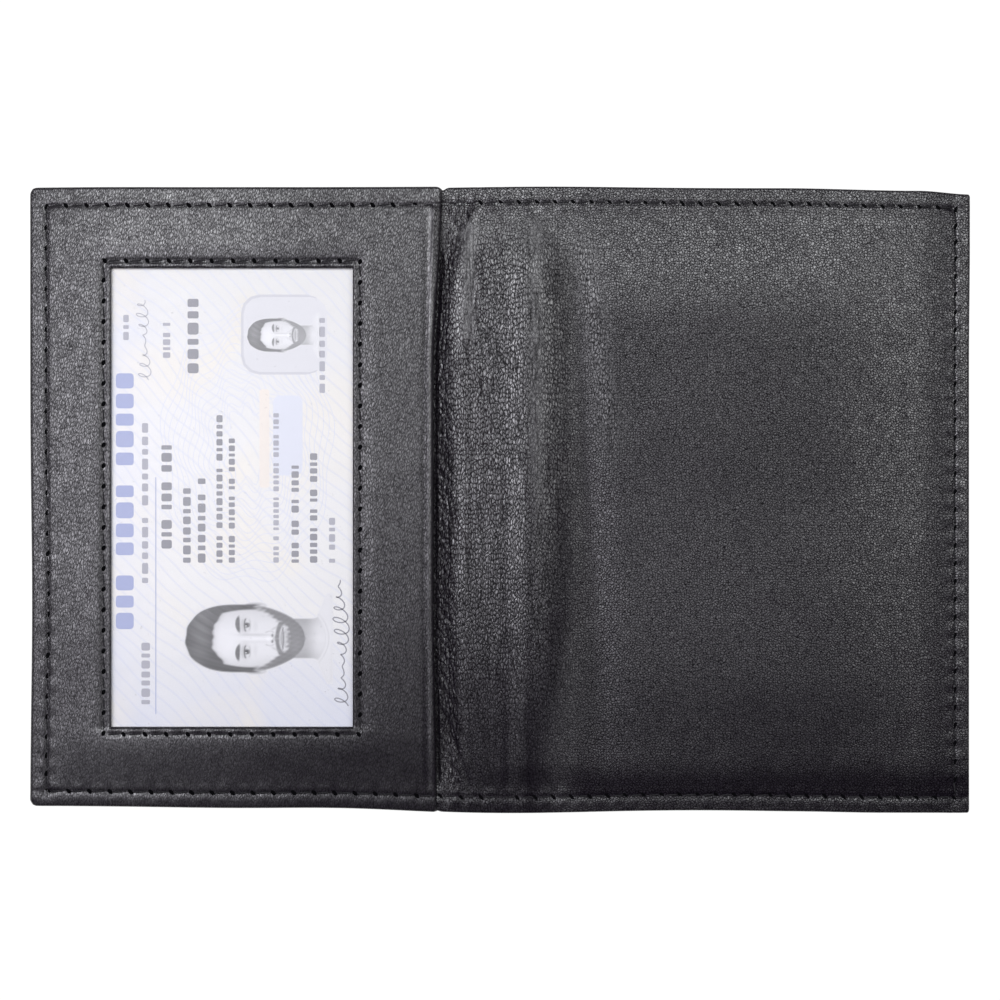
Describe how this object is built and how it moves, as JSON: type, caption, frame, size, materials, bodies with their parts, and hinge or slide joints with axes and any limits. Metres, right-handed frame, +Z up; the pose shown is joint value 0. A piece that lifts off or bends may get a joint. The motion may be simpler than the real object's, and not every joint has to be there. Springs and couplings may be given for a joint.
{
  "type": "credit card holder",
  "caption": "Bifold leather card holder lying open, with a stitched clear ID window pocket inside and stepped card slots outside.",
  "frame": {"origin": "on the table under the middle of the open holder, on the fold line", "axes": "+X to the right across the open holder, +Y along the fold toward its top edge, +Z up, away from the table"},
  "size_m": [0.1524, 0.1016, 0.0056],
  "materials": {
    "outer_leather": "black, fine pebble grain, soft sheen",
    "liner_leather": "soft thin black leather, pebbled and creased over the fold",
    "lining": "matt black lining fabric",
    "window": "clear, slightly hazy PVC sheet",
    "card": "pale printed plastic card",
    "thread": "black sewing thread"
  },
  "bodies": {
    "right_half": {"cover_right": "outer_leather", "cover_spine": "outer_leather", "slot_strip_right_1": "outer_leather", "slot_strip_right_2": "outer_leather", "slot_strip_right_3": "outer_leather", "liner_panel": "liner_leather", "seam_thread_right": "thread"},
    "left_half": {"cover_left": "outer_leather", "slot_strip_left_1": "outer_leather", "slot_strip_left_2": "outer_leather", "slot_strip_left_3": "outer_leather", "pocket_lining": "lining", "id_window": "window", "id_frame": "outer_leather", "window_thread": "thread", "seam_thread_left": "thread", "liner_roll_left": "liner_leather"},
    "card": {"id_card": "card"}
  },
  "joints": [
    {"name": "fold", "type": "hinge", "parent": "right_half", "child": "left_half", "pos_m": [0, 0, 0.00551], "axis": [0, 1, 0], "range_deg": [0, 180], "deforming": ["cover_spine"]},
    {"name": "id_card_slide", "type": "slide", "parent": "left_half", "child": "card", "axis": [-1, 0, 0], "range_m": [-0.057, 0], "deforming": ["liner_panel", "liner_roll_left"]}
  ]
}
